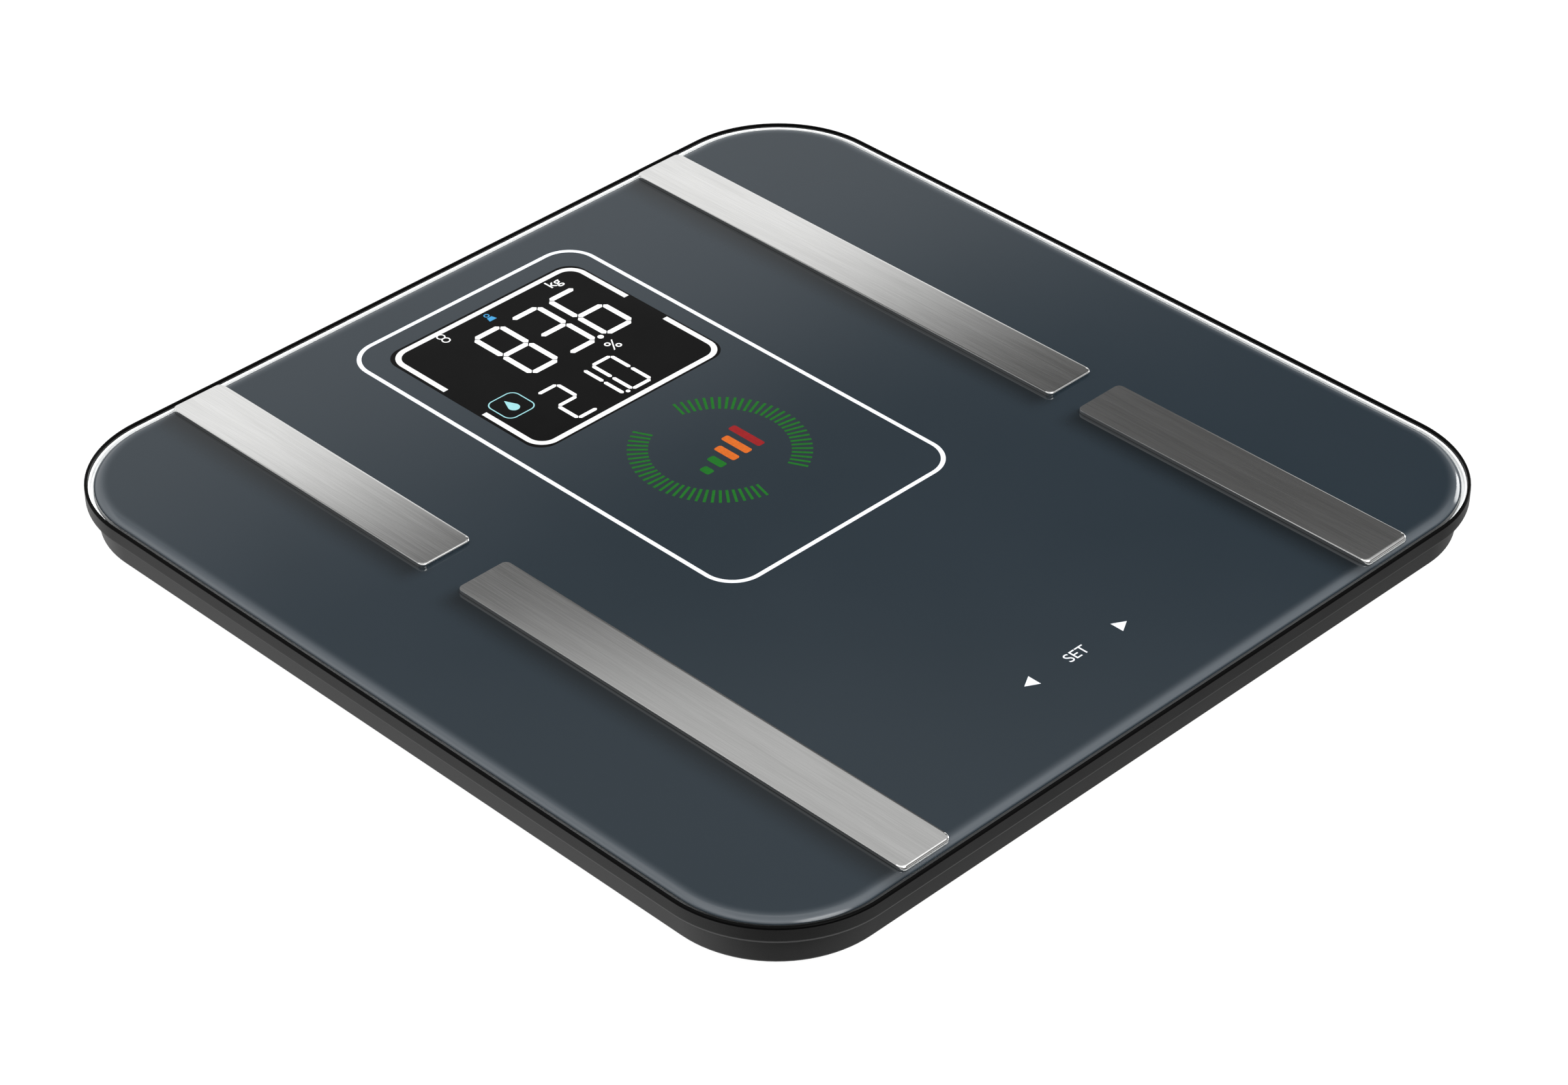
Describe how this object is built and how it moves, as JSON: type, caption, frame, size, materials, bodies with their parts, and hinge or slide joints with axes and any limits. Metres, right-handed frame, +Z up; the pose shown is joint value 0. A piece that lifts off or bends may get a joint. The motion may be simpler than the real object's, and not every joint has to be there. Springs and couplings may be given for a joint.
{
  "type": "digital bathroom scale",
  "caption": "Slim square body-analysis bathroom scale: dark glass platform with brushed steel electrode strips, flush display, touch keys and sprung load-cell feet.",
  "frame": {"origin": "on the floor, below the centre of the square platform", "axes": "+Z up, +Y towards the display end, +X the reading direction of the display"},
  "size_m": [0.32, 0.32, 0.023],
  "materials": {
    "slate_glass": "polished toughened glass, printed dark slate on its underside",
    "seal_white": "light satin silicone",
    "bond_grey": "matt adhesive sheet",
    "tray_plastic": "dark grey satin moulding with a fine grain",
    "cover_plastic": "dark grey satin moulding with a fine grain",
    "brushed_steel": "stainless strip, brushed along its length, bright edges",
    "display_black": "black display window with light segments",
    "holder_white": "plain white moulding",
    "guide_clear": "clear light guide",
    "board_green": "green circuit board laminate",
    "chip_black": "black moulded package",
    "can_steel": "plated steel",
    "pad_copper": "bare copper pad",
    "spring_steel": "plated spring strip",
    "door_plastic": "dark grey satin moulding",
    "button_grey": "mid grey moulding",
    "cell_steel": "stamped spring steel",
    "foot_plastic": "black moulding",
    "rubber_black": "black rubber tread",
    "screw_steel": "zinc plated steel",
    "lead_red": "red insulation",
    "lead_black": "black insulation",
    "lead_white": "white insulation",
    "ribbon_amber": "flat flexible ribbon"
  },
  "bodies": {
    "chassis": {"backlight_guide": "guide_clear", "battery_lead_negative": "lead_black", "battery_lead_positive": "lead_red", "bond_sheet": "bond_grey", "coin_cell_left": "can_steel", "coin_cell_right": "can_steel", "cover_screw_front_left": "screw_steel", "cover_screw_front_right": "screw_steel", "cover_screw_rear_left": "screw_steel", "cover_screw_rear_right": "screw_steel", "display_holder": "holder_white", "display_panel": "display_black", "electrode_front_left": "brushed_steel", "electrode_front_right": "brushed_steel", "electrode_lead_front_left": "lead_black", "electrode_lead_front_right": "lead_black", "electrode_lead_rear_left": "lead_black", "electrode_lead_rear_right": "lead_black", "electrode_rear_left": "brushed_steel", "electrode_rear_right": "brushed_steel", "glass_platform": "slate_glass", "key_pad_left": "pad_copper", "key_pad_middle": "pad_copper", "key_pad_right": "pad_copper", "load_cell_carrier_front_left": "holder_white", "load_cell_carrier_front_right": "holder_white", "load_cell_carrier_rear_left": "holder_white", "load_cell_carrier_rear_right": "holder_white", "load_cell_front_left": "cell_steel", "load_cell_front_right": "cell_steel", "load_cell_lead_front_left": "lead_white", "load_cell_lead_front_right": "lead_white", "load_cell_lead_rear_left": "lead_white", "load_cell_lead_rear_right": "lead_white", "load_cell_rear_left": "cell_steel", "load_cell_rear_right": "cell_steel", "lower_cover": "cover_plastic", "main_board": "board_green", "negative_contact_left": "spring_steel", "negative_contact_right": "spring_steel", "positive_contact_left": "spring_steel", "positive_contact_right": "spring_steel", "processor_chip": "chip_black", "radio_module": "can_steel", "seal_ring": "seal_white", "touch_board": "board_green", "touch_ribbon": "ribbon_amber", "unit_switch": "chip_black", "upper_tray": "tray_plastic"},
    "foot_rear_left": {"foot_cap_rear_left": "foot_plastic", "foot_pad_rear_left": "rubber_black"},
    "foot_rear_right": {"foot_cap_rear_right": "foot_plastic", "foot_pad_rear_right": "rubber_black"},
    "foot_front_left": {"foot_cap_front_left": "foot_plastic", "foot_pad_front_left": "rubber_black"},
    "foot_front_right": {"foot_cap_front_right": "foot_plastic", "foot_pad_front_right": "rubber_black"},
    "door": {"battery_door": "door_plastic"},
    "button": {"unit_button": "button_grey"}
  },
  "joints": [
    {"name": "foot_travel_rear_left", "type": "slide", "parent": "chassis", "child": "foot_rear_left", "axis": [0, 0, 1], "range_m": [0, 0.0007], "stiffness_N_per_m": 9000, "springref_m": -0.001, "deforming": ["load_cell_rear_left"]},
    {"name": "foot_travel_rear_right", "type": "slide", "parent": "chassis", "child": "foot_rear_right", "axis": [0, 0, 1], "range_m": [0, 0.0007], "stiffness_N_per_m": 9000, "springref_m": -0.001, "deforming": ["load_cell_rear_right"]},
    {"name": "foot_travel_front_left", "type": "slide", "parent": "chassis", "child": "foot_front_left", "axis": [0, 0, 1], "range_m": [0, 0.0007], "stiffness_N_per_m": 9000, "springref_m": -0.001, "deforming": ["load_cell_front_left"]},
    {"name": "foot_travel_front_right", "type": "slide", "parent": "chassis", "child": "foot_front_right", "axis": [0, 0, 1], "range_m": [0, 0.0007], "stiffness_N_per_m": 9000, "springref_m": -0.001, "deforming": ["load_cell_front_right"]},
    {"name": "battery_door_hinge", "type": "hinge", "parent": "chassis", "child": "door", "pos_m": [0, -0.01365, 0.00725], "axis": [-1, 0, 0], "range_deg": [0, 100]},
    {"name": "unit_button_travel", "type": "slide", "parent": "chassis", "child": "button", "axis": [0, 0, 1], "range_m": [0, 0.0008], "stiffness_N_per_m": 500, "springref_m": -0.001}
  ]
}
